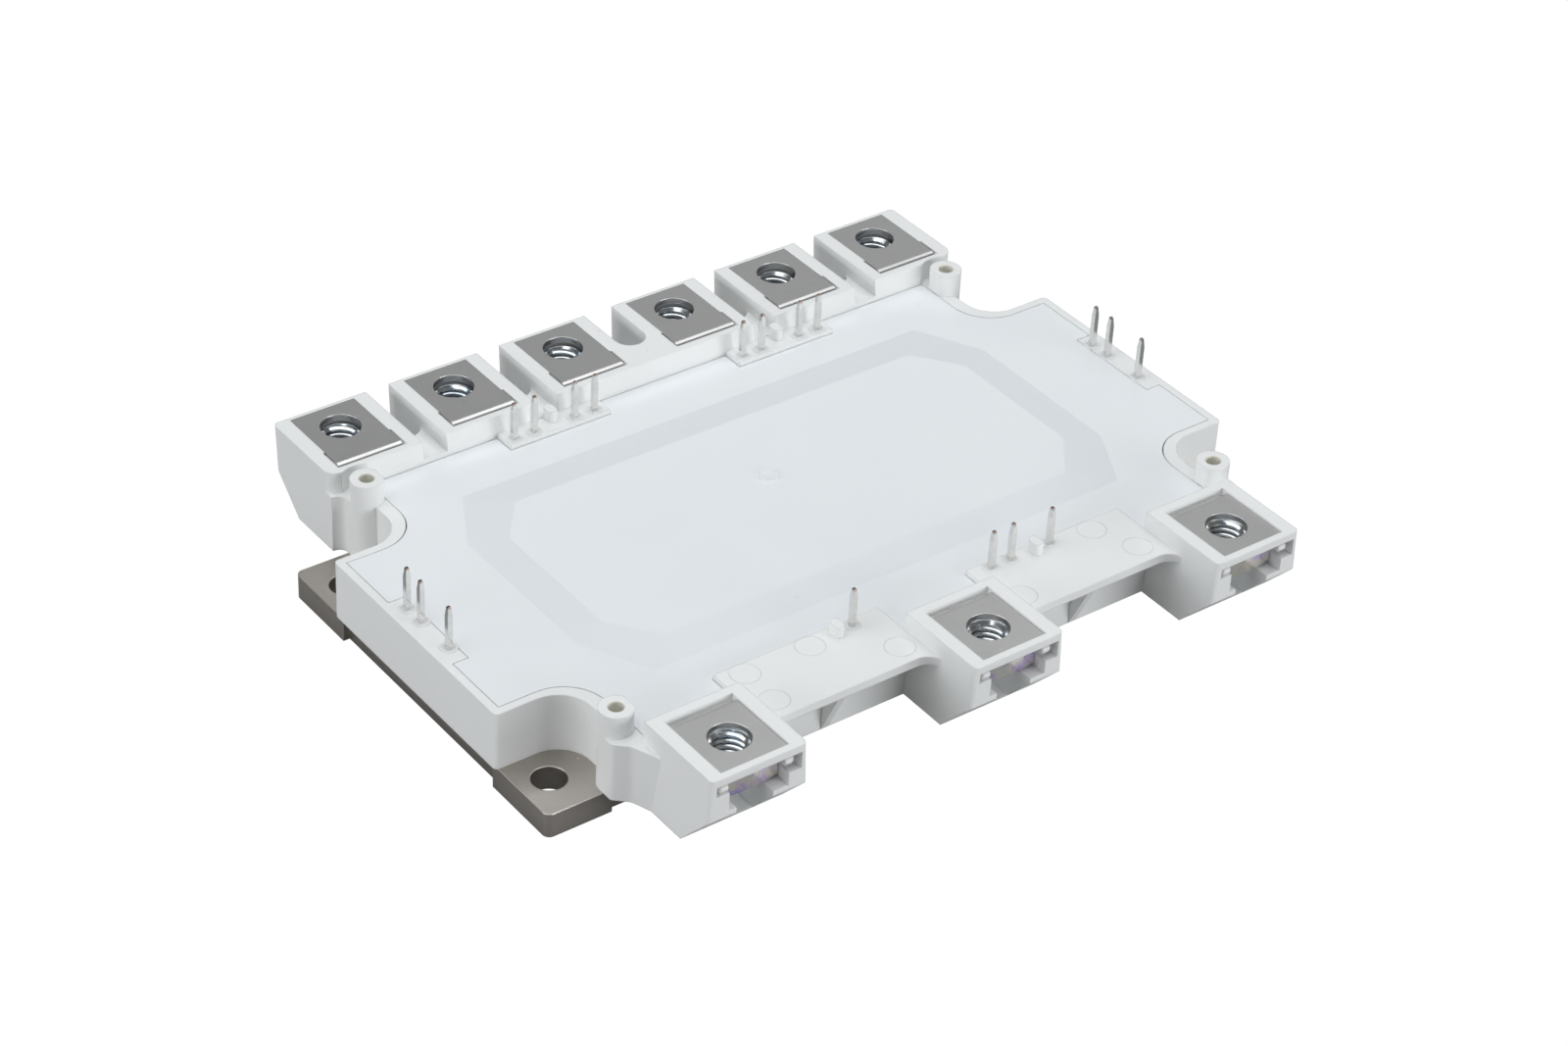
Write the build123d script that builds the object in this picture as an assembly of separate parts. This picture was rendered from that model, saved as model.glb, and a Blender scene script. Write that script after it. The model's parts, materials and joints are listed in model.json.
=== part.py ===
from build123d import *
import math
import os

# Three-phase power transistor module in a white moulded case.
# Millimetres. X runs along the long side, +Y points to the side with six
# terminals, +Z is up. The origin is the middle of the base plate's underside.

# Base plate
base_length = 138.0
base_width = 70.0
base_thickness = 4.2
base_edge_relief_x = 1.1
base_edge_relief_y = 0.8
base_corner_radius = 1.2
ear_length = 11.25
ear_width = 14.2
mount_edge_x = 5.0
mount_edge_y = 7.0
mount_hole_diameter = 5.5

# Moulded frame, seen from above
frame_overhang = 0.5
frame_front_y = 40.5
frame_rear_y = 36.6
frame_edge_radius = 0.8
notch_side_offset = 7.25
notch_end_offset = 5.7
notch_radius = 5.6
skirt_root_radius = 1.6
flare_start_y = 36.9
flare_knee_y = 38.9
flare_knee_inset = 2.2
flare_end_y = 43.6
flare_outer_radius = 1.0
flare_inner_radius = 2.5
rim_width = 1.5
notch_rim_width = 2.45
lid_top_z = 14.3
lid_thickness = 1.8
lid_gap = 0.1
cavity_end_wall = 4.7
cavity_notch_wall = 3.6
cavity_side_y = 31.0

# Screw bosses for the control board
boss_radius = 2.67
boss_top_z = 18.15
boss_front_y = 34.0
boss_rear_y = 33.5
boss_flat_offset = 2.3
boss_pilot_diameter = 2.5
boss_pilot_depth = 10.0
boss_clearance = 1.5

# Terminal blocks, shared values
block_top_z = 18.1
block_half_width = 8.3
terminal_width = 11.6
terminal_thickness = 1.0
terminal_hole_diameter = 6.5
terminal_bend_radius = 0.95
terminal_run_z = 8.0
terminal_foot_width = 3.2
terminal_foot_length = 2.7

# Six terminals of the direct-current side
dc_end_overhang = 1.78
dc_middle_pitch = 22.0
dc_hole_y = 47.9
dc_rear_y = 54.1
dc_lower_rear_y = 53.6
dc_chamfer_z = 10.5
dc_bottom_rear_y = 46.9
dc_end_wall = 8.5
dc_front_draft = 0.5
dc_step_z = 15.2
dc_slot_end_y = 43.2
dc_middle_slot_end_y = 42.3
dc_plate_front_y = 38.65
dc_plate_rear_y = 53.5
dc_corner_radius = 2.0
dc_bend_gap = 0.35
dc_bend_room_y = 43.0
dc_bend_room_depth = 0.7
outer_foot_inset = 2.15
inner_foot_inset = 1.7
middle_foot_inset = 0.5

# Three terminals of the phase side
ac_end_inset = 9.75
ac_hole_y = 48.0
ac_block_rear_y = 38.9
ac_block_front_y = 55.4
ac_chamfer_z = 10.9
ac_bottom_front_y = 49.4
ac_side_draft = 0.7
ac_pocket_half_width = 5.95
ac_pocket_rear_y = 40.4
ac_plate_drop = 0.35
ac_plate_rear_y = 41.0
ac_plate_front_y = 54.2

# Captive nuts and the windows that they are slid in through
nut_width = 10.0
nut_thickness = 5.0
nut_core_diameter = 5.0
nut_side_gap = 0.15
dc_nut_drop = 0.6
window_half_width = 7.4
window_low_height = 2.85
window_high_height = 1.75
window_depth = 4.0
runout_low_side = 2.5
runout_high_side = 3.8
runout_floor_z = 6.0

# Shelves between the phase blocks
shelf_top_z = 15.1
shelf_thickness = 1.5
shelf_front_y = 45.7
shelf_rear_y = 32.45
shelf_end_gap = 0.15
shelf_corner_radius = 3.0
shelf_rib_thickness = 1.4
shelf_rib_x = 23.8
shelf_rib_front_y = 44.9

# Control pins
pin_size = 0.85
pin_tip_size = 0.5
pin_tip_length = 1.6
pin_top_z = 21.8
pin_pitch = 3.81
pin_foot_z = 6.2
pin_foot_reach = 2.2
pin_ledge_margin = 1.2
side_pin_inset = 3.0
left_pin_y = 6.2
right_pin_y = 6.35
rear_pin_y = 34.0
rear_left_pin_x = -29.5
rear_right_pin_x = 14.9
front_pin_y = 33.9
front_left_pin_x = -14.35
front_right_pin_x = 12.2

# Raised strips and flush tabs that hold the pins
strip_front_y = 32.6
strip_left_margin = 1.45
strip_right_margin = 2.15
tab_depth = 2.7
tab_front_y = -8.7
tab_rear_y = 8.9

# Keying pegs beside the pins
peg_width = 1.7
peg_length = 2.6
peg_top_z = 17.1
rear_peg_y = 35.7
rear_left_peg_x = -21.6
rear_right_peg_x = 22.9
front_peg_y = 34.3
front_left_peg_x = -17.55
front_right_peg_x = 20.5

# Flat field raised on the lid
field_half_length = 50.3
field_half_width = 26.0
field_corner_x = 44.3
field_corner_y = 14.9
field_slope_width = 5.9
field_corner_slope = 0.4
field_height = 0.35

# Substrates and what they carry
substrate_side_margin = 0.95
substrate_length = 50.0
substrate_gap = 1.8
solder_thickness = 0.2
copper_thickness = 0.3
ceramic_thickness = 0.6
copper_margin = 0.8
track_gap = 0.8
track_split_x = 1.2
pad_length = 1.6
low_track_rear_y = 11.8
link_track_rear_y = -2.2
chip_edge_margin = 0.85
chip_thickness = 0.25
igbt_length = 9.0
diode_length = 6.0
chip_column_gap = 0.7
chip_row_gap = 1.5
wire_size = 0.4
wires_per_chip = 2
wire_spacing = 2.4
wire_loop_height = 1.4
wire_shoulder = 0.28
thermistor_length = 3.0
thermistor_width = 1.6
thermistor_height = 1.0

# Places worked out from the sizes above
body_half_length = base_length / 2 + frame_overhang
mount_x = base_length / 2 - mount_edge_x
mount_y = base_width / 2 - mount_edge_y
notch_x = mount_x - notch_side_offset
notch_y = mount_y - notch_end_offset
skirt_x = notch_x + boss_radius
lid_seat_z = lid_top_z - lid_thickness
lid_half_length = body_half_length - rim_width
lid_end_half_width = notch_y - rim_width
lid_side_x = notch_x - notch_rim_width
cavity_half_length = body_half_length - cavity_end_wall
cavity_end_half_width = notch_y - cavity_notch_wall
cavity_side_x = notch_x - cavity_notch_wall
side_pin_x = body_half_length - side_pin_inset
dc_half_length = skirt_x + dc_end_overhang
dc_pitch = (dc_half_length - dc_end_wall - dc_middle_pitch / 2) / 2
dc_holes_x = [side * (dc_middle_pitch / 2 + step * dc_pitch) for side, step in
              ((-1, 2), (-1, 1), (-1, 0), (1, 0), (1, 1), (1, 2))]
ac_pitch = notch_x - ac_end_inset
ac_holes_x = [-ac_pitch, 0.0, ac_pitch]
dc_plate_z = block_top_z
dc_clear = (terminal_width + terminal_hole_diameter) / 4
ac_plate_z = block_top_z - ac_plate_drop
dc_nut_z = dc_plate_z - terminal_thickness - dc_nut_drop - nut_thickness
ac_nut_z = ac_plate_z - terminal_thickness - nut_thickness
backing_z = base_thickness + solder_thickness
ceramic_z = backing_z + copper_thickness
track_z = ceramic_z + ceramic_thickness
chip_z = track_z + copper_thickness
substrate_width = 2 * (cavity_side_x - substrate_side_margin - substrate_gap) / 3
substrate_pitch = substrate_width + substrate_gap
substrates_x = [-substrate_pitch, 0.0, substrate_pitch]
copper_half_width = substrate_width / 2 - copper_margin
copper_half_length = substrate_length / 2 - copper_margin
chip_width = (copper_half_width - track_split_x - chip_column_gap) / 2 - chip_edge_margin
outer_foot_x = substrate_pitch + copper_half_width - outer_foot_inset
inner_foot_x = substrate_pitch - track_split_x - inner_foot_inset
middle_foot_x = copper_half_width / 2 - middle_foot_inset
dc_feet_x = [-outer_foot_x, -inner_foot_x, -middle_foot_x, middle_foot_x, inner_foot_x, outer_foot_x]
pin_steps = (0, 1, 3, 4)


def slab(x0, x1, y0, y1, z0, z1):
    """Block between two opposite corners."""
    return Pos((x0 + x1) / 2, (y0 + y1) / 2, (z0 + z1) / 2) * Box(x1 - x0, y1 - y0, z1 - z0)


def flat(x0, x1, y0, y1):
    """Rectangle between two opposite corners, in plan."""
    return Pos((x0 + x1) / 2, (y0 + y1) / 2) * Rectangle(x1 - x0, y1 - y0)


def raised(plan, z0, z1):
    """Plan shape stood up between two heights."""
    return extrude(Pos(0, 0, z0) * plan, amount=z1 - z0)


def side_profile(points, x0, x1):
    """Outline in Y and Z carried along X."""
    return extrude(Plane.YZ.offset(x0) * Polygon(*points, align=None), amount=x1 - x0, dir=(1, 0, 0))


def corners_at(plan, places, reach=0.05):
    """Corners of a plan shape that lie at the named places."""
    return [v for v in plan.vertices() if any(math.dist((v.X, v.Y), p) < reach for p in places)]


def mirrored_places(x, y):
    return [(x, y), (-x, y)]


def base_plate():
    half_x = base_length / 2
    half_y = base_width / 2
    core_x = half_x - base_edge_relief_x
    core_y = half_y - base_edge_relief_y
    plan = flat(-core_x, core_x, -core_y, core_y)
    for sx in (-1, 1):
        for sy in (-1, 1):
            ear = Rectangle(ear_length, ear_width)
            plan += Pos(sx * (half_x - ear_length / 2), sy * (half_y - ear_width / 2)) * ear
    plan = fillet([v for v in plan.vertices() if abs(abs(v.X) - half_x) < 0.01
                   and abs(abs(v.Y) - half_y) < 0.01], base_corner_radius)
    plate = raised(plan, 0, base_thickness)
    for sx in (-1, 1):
        for sy in (-1, 1):
            hole = Cylinder(mount_hole_diameter / 2, base_thickness * 2)
            plate -= Pos(sx * mount_x, sy * mount_y, base_thickness / 2) * hole
    return plate


def frame_plan():
    """Outline of the frame at the level of the lid, without its terminal blocks."""
    end = flat(-body_half_length, body_half_length, -notch_y, notch_y)
    middle = flat(-notch_x, notch_x, -boss_front_y, frame_rear_y)
    plan = end + middle
    corners = mirrored_places(notch_x, notch_y) + mirrored_places(notch_x, -notch_y)
    plan = fillet(corners_at(plan, corners), notch_radius)
    ends = mirrored_places(body_half_length, notch_y) + mirrored_places(body_half_length, -notch_y)
    plan = fillet(corners_at(plan, ends), frame_edge_radius)
    root_y = frame_rear_y + skirt_root_radius
    rear_skirt = flat(-skirt_x, skirt_x, boss_rear_y, frame_rear_y)
    rear_skirt += flat(-dc_half_length, dc_half_length, frame_rear_y, root_y)
    rear_skirt = fillet(corners_at(rear_skirt, mirrored_places(skirt_x, frame_rear_y)), skirt_root_radius)
    return plan + front_skirt() + rear_skirt


def front_skirt():
    """Wall along the front that flares from the bosses to the outer sides of the phase blocks."""
    end_x = ac_pitch + block_half_width + ac_side_draft / 4
    knee_x = skirt_x - flare_knee_inset
    half = [(skirt_x, -boss_front_y), (skirt_x, -flare_start_y), (knee_x, -flare_knee_y),
            (end_x, -flare_end_y), (ac_pitch, -flare_end_y), (ac_pitch, -frame_front_y)]
    plan = Polygon(*[(-x, y) for x, y in half], *reversed(half), align=None)
    plan = fillet(corners_at(plan, mirrored_places(skirt_x, -flare_start_y)), flare_outer_radius)
    return fillet(corners_at(plan, mirrored_places(knee_x, -flare_knee_y)), flare_inner_radius)


def boss_places():
    return [(sx * notch_x, y) for sx in (-1, 1) for y in (-boss_front_y, boss_rear_y)]


def boss_plan(grow=0.0):
    """Round boss with a flat on the side that faces the lid."""
    plans = []
    for x, y in boss_places():
        side = 1 if x > 0 else -1
        disc = Pos(x, y) * Circle(boss_radius + grow)
        keep = boss_flat_offset + grow
        trim = Pos(x + side * (boss_radius - keep), y) * Rectangle(2 * boss_radius, 4 * boss_radius)
        plans.append(disc & trim)
    return plans


def lid_plan(grow=0.0):
    """Outline of the lid; the seat in the frame is the same outline, grown by the gap."""
    end_x = lid_half_length + grow
    end_y = lid_end_half_width + grow
    side_x = lid_side_x + grow
    tab_x = lid_half_length - tab_depth + grow
    plan = flat(-end_x, end_x, -end_y, end_y)
    plan += flat(-side_x, side_x, -shelf_rear_y + lid_gap - grow, frame_rear_y - lid_gap + grow)
    corners = mirrored_places(side_x, end_y) + mirrored_places(side_x, -end_y)
    plan = fillet(corners_at(plan, corners), notch_radius + rim_width + grow)
    for side in (-1, 1):
        tab = flat(tab_x, end_x + 1, tab_front_y + grow - lid_gap, tab_rear_y - grow + lid_gap)
        plan -= mirror(tab, about=Plane.YZ) if side < 0 else tab
    front_y = ac_block_rear_y - lid_gap + grow
    for x in ac_holes_x:
        x0 = x - block_half_width - shelf_end_gap + lid_gap - grow
        x1 = x + block_half_width + shelf_end_gap - lid_gap + grow
        x0 = max(x0, -side_x)
        x1 = min(x1, side_x)
        plan += flat(x0, x1, -front_y, -shelf_rear_y + 1)
    for x0, x1 in strip_spans():
        plan -= flat(x0 - lid_gap + grow, x1 + lid_gap - grow, strip_front_y - lid_gap + grow, frame_rear_y + 1)
    for boss in boss_plan(lid_gap - grow):
        plan -= boss
    return plan


def cavity_plan():
    """Inner room of the frame, below the seat of the lid."""
    plan = flat(-cavity_half_length, cavity_half_length, -cavity_end_half_width, cavity_end_half_width)
    plan += flat(-cavity_side_x, cavity_side_x, -cavity_side_y, cavity_side_y)
    corners = mirrored_places(cavity_side_x, cavity_end_half_width)
    corners += mirrored_places(cavity_side_x, -cavity_end_half_width)
    return fillet(corners_at(plan, corners), notch_radius)


def strip_spans():
    """Ends along X of the two raised strips that hold the rear pins."""
    reach = pin_steps[-1] * pin_pitch
    return [(x - strip_left_margin, x + reach + strip_right_margin)
            for x in (rear_left_pin_x, rear_right_pin_x)]


def shelf_spans():
    """Ends along X of the two shelves between the phase blocks."""
    inner = block_half_width + shelf_end_gap
    outer = ac_pitch - block_half_width - shelf_end_gap
    return [(-outer, -inner), (inner, outer)]


def pin_groups():
    """Name, places and inward direction of each group of control pins."""
    side_steps = (0, 1, 3)
    rear_left = [(rear_left_pin_x + s * pin_pitch, rear_pin_y) for s in pin_steps]
    rear_right = [(rear_right_pin_x + s * pin_pitch, rear_pin_y) for s in pin_steps]
    left = [(-side_pin_x, left_pin_y - s * pin_pitch) for s in side_steps]
    right = [(side_pin_x, right_pin_y - s * pin_pitch) for s in side_steps]
    front_right = [(front_right_pin_x + s * pin_pitch, -front_pin_y) for s in side_steps]
    return [
        ("control_pins_left", left, (1, 0)),
        ("control_pins_right", right, (-1, 0)),
        ("control_pins_rear_left", rear_left, (0, -1)),
        ("control_pins_rear_right", rear_right, (0, -1)),
        ("control_pin_front_left", [(front_left_pin_x, -front_pin_y)], (0, 1)),
        ("control_pins_front_right", front_right, (0, 1)),
    ]


def foot_reach(place, inward):
    """How far a pin's foot runs inwards, from the pin to its end on the ledge."""
    if inward[0]:
        return abs(place[0]) - cavity_half_length + pin_foot_reach
    return abs(place[1]) - cavity_side_y + pin_foot_reach


def control_pin(place, inward):
    """Square pin with a tapered tip and a bent foot for the bond wire."""
    x, y = place
    half = pin_size / 2
    shank_top = pin_top_z - pin_tip_length
    shank = slab(x - half, x + half, y - half, y + half, pin_foot_z, shank_top)
    slope = math.degrees(math.atan((pin_size - pin_tip_size) / 2 / pin_tip_length))
    tip = extrude(Pos(x, y, shank_top) * Rectangle(pin_size, pin_size), amount=pin_tip_length, taper=slope)
    reach = foot_reach(place, inward)
    ex = x + inward[0] * reach
    ey = y + inward[1] * reach
    foot = slab(min(x, ex) - half * abs(inward[1]), max(x, ex) + half * abs(inward[1]),
                min(y, ey) - half * abs(inward[0]), max(y, ey) + half * abs(inward[0]),
                pin_foot_z, pin_foot_z + pin_size)
    return shank + tip + foot


def pin_ledges():
    """Steps inside the frame that carry the feet of the pins."""
    ledges = []
    for _, places, inward in pin_groups():
        xs = [p[0] for p in places]
        ys = [p[1] for p in places]
        if inward[0]:
            end = inward[0] * -(cavity_half_length - pin_foot_reach)
            wall = inward[0] * -(cavity_half_length + 0.5)
            ledges.append(slab(min(end, wall), max(end, wall), min(ys) - pin_ledge_margin,
                               max(ys) + pin_ledge_margin, base_thickness, pin_foot_z))
        else:
            end = inward[1] * -(cavity_side_y - pin_foot_reach)
            wall = inward[1] * -(cavity_side_y + 0.5)
            ledges.append(slab(min(xs) - pin_ledge_margin, max(xs) + pin_ledge_margin,
                               min(end, wall), max(end, wall), base_thickness, pin_foot_z))
    return ledges


def bent_terminal(hole_x, hole_y, plate_end_y, bend_y, top_z, foot_x, out):
    """Copper bar: drilled plate, leg down through the wall, run inwards and soldered foot.

    out is +1 where the plate points to +Y and -1 where it points to -Y.
    """
    t = terminal_thickness
    r = terminal_bend_radius
    half = terminal_width / 2
    foot_end = copper_half_length - terminal_foot_length
    foot_start = foot_end + terminal_foot_length + t
    plate = [(bend_y, top_z), (plate_end_y, top_z), (plate_end_y, top_z - t), (bend_y + t, top_z - t),
             (bend_y + t, terminal_run_z), (bend_y, terminal_run_z)]
    run = [(bend_y + t, terminal_run_z), (bend_y + t, terminal_run_z + t),
           (foot_start - t, terminal_run_z + t), (foot_start - t, chip_z + t), (foot_end, chip_z + t),
           (foot_end, chip_z), (foot_start, chip_z), (foot_start, terminal_run_z)]
    wide = side_profile(plate, hole_x - half, hole_x + half)
    outer_edge = [e for e in wide.edges().filter_by(Axis.X)
                  if math.dist((e.center().Y, e.center().Z), (bend_y, top_z)) < 0.01]
    wide = fillet(outer_edge, r)
    wide -= Pos(hole_x, hole_y, top_z) * Cylinder(terminal_hole_diameter / 2, 4 * t)
    narrow = side_profile(run, foot_x - terminal_foot_width / 2, foot_x + terminal_foot_width / 2)
    bar = wide + narrow
    return bar if out > 0 else mirror(bar, about=Plane.XZ)


def dc_terminal(index):
    hole_x = dc_holes_x[index]
    return bent_terminal(hole_x, dc_hole_y, dc_plate_rear_y, dc_plate_front_y, dc_plate_z,
                         dc_feet_x[index], 1)


def ac_terminal(index):
    hole_x = ac_holes_x[index]
    return bent_terminal(hole_x, ac_hole_y, ac_plate_front_y, ac_plate_rear_y, ac_plate_z, hole_x, -1)


def nut(x, y, z):
    """Square nut with the core hole of its thread."""
    plan = Rectangle(nut_width, nut_width) - Circle(nut_core_diameter / 2)
    return Pos(x, y) * raised(plan, z, z + nut_thickness)


def nut_room(x, hole_y, nut_z, top_z, outer_y):
    """Pocket for a nut with its sliding channel, stepped window and bolt run-out, open at outer_y.

    Worked out for a block on the +Y side. top_z is the underside of the terminal above.
    """
    reach = outer_y + 2
    half = nut_width / 2 + nut_side_gap
    inner_y = outer_y - window_depth
    room = slab(x - half, x + half, hole_y - half, reach, nut_z, top_z)
    room += slab(x, x + window_half_width, inner_y, reach, top_z - window_low_height, top_z)
    room += slab(x - window_half_width, x, inner_y, reach, top_z - window_high_height, top_z)
    back = hole_y - runout_high_side
    room += slab(x - runout_high_side, x + runout_low_side, back, reach, runout_floor_z, nut_z)
    return room


def dc_blocks():
    """Bar of six terminal blocks along the rear, parted by slots."""
    top = block_top_z
    front = frame_rear_y
    outline = [(front, base_thickness), (dc_bottom_rear_y, base_thickness),
               (dc_lower_rear_y, dc_chamfer_z), (dc_rear_y, top), (front + dc_front_draft, top),
               (front, dc_step_z)]
    bar = side_profile(outline, -dc_half_length, dc_half_length)
    upright = [e for e in bar.edges() if abs(abs(e.center().X) - dc_half_length) < 0.01
               and e.center().Z > dc_chamfer_z and e.center().Y > dc_hole_y and e.length < block_top_z
               and abs(e.center().Z - top) > 0.1]
    bar = fillet(upright, frame_edge_radius)
    for side in (-1, 1):
        bar -= boss_recess(side)
    for left, right in zip(dc_holes_x, dc_holes_x[1:]):
        middle = (left + right) / 2
        half = (right - left) / 2 - block_half_width
        is_centre = abs(middle) < 0.01
        end = (dc_middle_slot_end_y if is_centre else dc_slot_end_y) + half
        plan = flat(middle - half, middle + half, end, dc_rear_y + 2) + Pos(middle, end) * Circle(half)
        bar -= raised(plan, base_thickness - 1, top + 1)
        if not is_centre:
            bar -= slab(middle - half, middle + half, front - 1, end, dc_step_z, top + 1)
    return bar


def boss_recess(side):
    """Room round a rear boss and the rounded corner beside it, both above the level of the lid."""
    top = block_top_z + 1
    recess = Pos(side * notch_x, boss_rear_y) * raised(Circle(boss_radius + boss_clearance), lid_top_z, top)
    near_x = side * (dc_half_length - dc_corner_radius)
    far_x = side * (dc_half_length + 1)
    corner_y = frame_rear_y + dc_front_draft + dc_corner_radius
    corner = flat(min(near_x, far_x), max(near_x, far_x), frame_rear_y - 1, corner_y)
    corner -= Pos(near_x, corner_y) * Circle(dc_corner_radius)
    return recess + raised(corner, lid_top_z, top)


def ac_block(x):
    """One phase block: drafted sides, chamfer under the front."""
    top = block_top_z
    outline = [(-ac_block_rear_y, base_thickness), (-ac_block_rear_y, top), (-ac_block_front_y, top),
               (-ac_block_front_y, ac_chamfer_z), (-ac_bottom_front_y, base_thickness)]
    wide = block_half_width + ac_side_draft
    block = side_profile(outline, x - wide, x + wide)
    section = Polygon((x - wide, base_thickness), (x + wide, base_thickness),
                      (x + block_half_width, top), (x - block_half_width, top), align=None)
    block &= extrude(Plane.XZ * section, amount=ac_block_front_y + 1, dir=(0, -1, 0))
    upright = [e for e in block.edges() if abs(e.center().Y + ac_block_front_y) < 0.01
               and abs(abs(e.center().X - x) - block_half_width) < ac_side_draft]
    return fillet(upright, frame_edge_radius)


def shelves():
    """Shelves between the phase blocks, each with a gusset under it."""
    made = []
    for x0, x1 in shelf_spans():
        overlap = block_half_width
        plan = flat(x0, x1, -shelf_front_y, -shelf_rear_y)
        plan += flat(x0 - overlap, x0 - shelf_end_gap, -ac_block_front_y + 2, -ac_block_rear_y)
        plan += flat(x1 + shelf_end_gap, x1 + overlap, -ac_block_front_y + 2, -ac_block_rear_y)
        plan += flat(x0 - 1, x1 + 1, -shelf_front_y, -ac_block_rear_y)
        inner = [(x0 - shelf_end_gap, -shelf_front_y), (x1 + shelf_end_gap, -shelf_front_y)]
        plan = fillet(corners_at(plan, inner), shelf_corner_radius)
        made.append(raised(plan, shelf_top_z - shelf_thickness, shelf_top_z))
        rib_x = math.copysign(shelf_rib_x, x0 + x1)
        underside = shelf_top_z - shelf_thickness
        rib = [(-frame_front_y + 0.5, base_thickness), (-frame_front_y + 0.5, underside),
               (-shelf_rib_front_y, underside), (-frame_front_y, base_thickness)]
        made.append(side_profile(rib, rib_x - shelf_rib_thickness / 2, rib_x + shelf_rib_thickness / 2))
    return made


def key_peg(x, y):
    """Peg with rounded ends that keys the control board."""
    plan = SlotOverall(peg_length, peg_width, rotation=90)
    return raised(Pos(x, y) * plan, lid_seat_z, peg_top_z)


def housing():
    """Moulded frame with its terminal blocks, shelves, bosses and pin strips."""
    body = raised(frame_plan(), base_thickness, lid_top_z)
    body += dc_blocks()
    for x in ac_holes_x:
        body += ac_block(x)
    for piece in shelves():
        body += piece
    for x0, x1 in strip_spans():
        body += slab(x0, x1, strip_front_y, frame_rear_y + 1, lid_seat_z, shelf_top_z)
    body -= raised(cavity_plan(), base_thickness - 1, lid_seat_z + 0.5)
    body -= raised(lid_plan(lid_gap), lid_seat_z, lid_top_z + 0.01)
    for boss in boss_plan():
        body += raised(boss, base_thickness, boss_top_z)
    for x, y in boss_places():
        pilot = Cylinder(boss_pilot_diameter / 2, boss_pilot_depth * 2)
        body -= Pos(x, y, boss_top_z) * pilot
    for ledge in pin_ledges():
        body += ledge
    for x in (rear_left_peg_x, rear_right_peg_x):
        body += key_peg(x, rear_peg_y)
    for x in (front_left_peg_x, front_right_peg_x):
        body += key_peg(x, -front_peg_y)
    for x in dc_holes_x:
        body -= nut_room(x, dc_hole_y, dc_nut_z, dc_plate_z - terminal_thickness, dc_rear_y)
        body -= slab(x - dc_clear, x + dc_clear, dc_hole_y - dc_clear, dc_hole_y + dc_clear,
                     dc_plate_z - terminal_thickness, block_top_z + 1)
        side = terminal_width / 2 + dc_bend_gap
        body -= slab(x - side, x + side, dc_plate_front_y - dc_bend_gap, dc_bend_room_y,
                     dc_plate_z - dc_bend_room_depth, block_top_z + 1)
    ac_underside = ac_plate_z - terminal_thickness
    for x in ac_holes_x:
        body -= mirror(nut_room(x, ac_hole_y, ac_nut_z, ac_underside, ac_block_front_y), about=Plane.XZ)
        body -= slab(x - ac_pocket_half_width, x + ac_pocket_half_width, -ac_plate_front_y,
                     -ac_pocket_rear_y, ac_underside, block_top_z + 1)
    return body


def cut_from(body, pieces):
    """Room in a moulded body for the metal pieces set into it."""
    for piece in pieces:
        body -= piece
    return body


def lid():
    """Flat lid with a shallow raised field that has cut corners."""
    cover = raised(lid_plan(), lid_seat_z, lid_top_z)
    outer = field_outline(0.0)
    inner = field_outline(field_slope_width)
    low = (Pos(0, 0, lid_top_z) * Polygon(*outer, align=None)).face()
    high = (Pos(0, 0, lid_top_z + field_height) * Polygon(*inner, align=None)).face()
    return cover + loft([low, high], ruled=True)


def field_outline(inset):
    """Eight corners of the raised field, moved inwards by the width of its slope."""
    x = field_half_length - inset
    y = field_half_width - inset
    cx = field_corner_x - inset
    cy = field_corner_y - inset * field_corner_slope
    return [(cx, -y), (x, -cy), (x, cy), (cx, y), (-cx, y), (-x, cy), (-x, -cy), (-cx, -y)]


def substrate_slabs(z0, z1, margin):
    half_x = substrate_width / 2 - margin
    half_y = substrate_length / 2 - margin
    return [slab(x - half_x, x + half_x, -half_y, half_y, z0, z1) for x in substrates_x]


def copper_tracks(x):
    """Etched copper on one substrate: plus, minus and phase tracks with control pads."""
    w = copper_half_width
    h = copper_half_length
    s = track_split_x
    pad_y = link_track_rear_y + track_gap
    plus_y = pad_y + pad_length + track_gap
    low_pad_y = low_track_rear_y + track_gap
    minus_y = low_pad_y + pad_length + track_gap
    middle = w / 2
    areas = [flat(-w, -s, plus_y, h), flat(s, w, minus_y, h),
             flat(-w, s, -h, link_track_rear_y) + flat(s - 1, w, -h, link_track_rear_y)
             + flat(s, w, link_track_rear_y - 1, low_track_rear_y),
             flat(-w, -middle - track_gap / 2, pad_y, pad_y + pad_length),
             flat(-middle + track_gap / 2, -s, pad_y, pad_y + pad_length),
             flat(s, middle - track_gap / 2, low_pad_y, low_pad_y + pad_length),
             flat(middle + track_gap / 2, w, low_pad_y, low_pad_y + pad_length)]
    return [raised(Pos(x, 0) * area, track_z, chip_z) for area in areas]


def chip_places(x):
    """Middle of each chip on one substrate: igbts and diodes of the high and low side."""
    column = track_split_x + chip_column_gap / 2 + chip_width / 2
    far = column + chip_width + chip_column_gap
    high_igbt_y = copper_half_length - terminal_foot_length - chip_row_gap - igbt_length / 2
    low_igbt_y = low_track_rear_y - chip_row_gap - igbt_length / 2
    row = (igbt_length + diode_length) / 2 + chip_row_gap
    igbts = []
    diodes = []
    for offset in (column, far):
        igbts += [(x - offset, high_igbt_y), (x + offset, low_igbt_y)]
        diodes += [(x - offset, high_igbt_y - row), (x + offset, low_igbt_y - row)]
    return igbts, diodes


def chips(places, length):
    return [slab(x - chip_width / 2, x + chip_width / 2, y - length / 2, y + length / 2,
                 chip_z, chip_z + chip_thickness) for x, y in places]


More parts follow.
